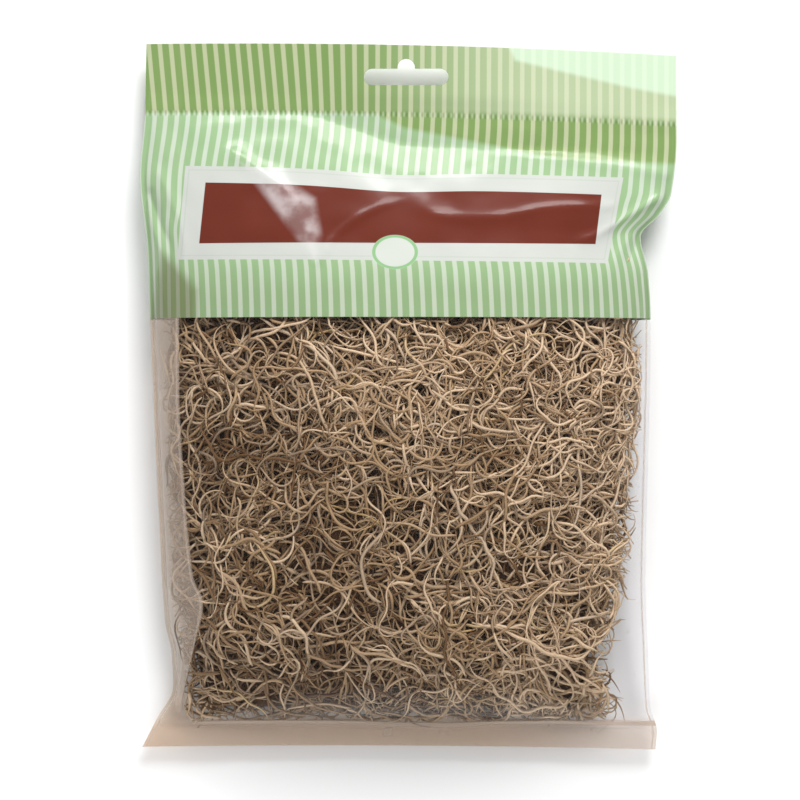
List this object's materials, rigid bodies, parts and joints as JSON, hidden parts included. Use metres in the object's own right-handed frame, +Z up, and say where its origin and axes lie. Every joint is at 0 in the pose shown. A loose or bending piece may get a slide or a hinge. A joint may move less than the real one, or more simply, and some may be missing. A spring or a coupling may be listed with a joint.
{
  "type": "bagged spanish moss bunch",
  "caption": "Tangled bunch of dried Spanish moss strands in a clear film hang bag with a striped header band, a blank label panel and a round-ended hanging slot, lying on its back.",
  "frame": {"origin": "on the supporting surface, under the middle of the bag lying on its back", "axes": "+X to the right of the bag's front, +Y from the hem towards the header along the bag's length, +Z up out of the bag's front"},
  "size_m": [0.203, 0.268, 0.0451],
  "materials": {
    "printed_film": "glossy film, clear below its printed band",
    "clear_film": "glossy clear film",
    "dried_moss": "dull dried plant fibre"
  },
  "bodies": {
    "root": {"bag_front": "printed_film", "bag_back": "clear_film", "moss_bunch": "dried_moss"}
  },
  "joints": []
}
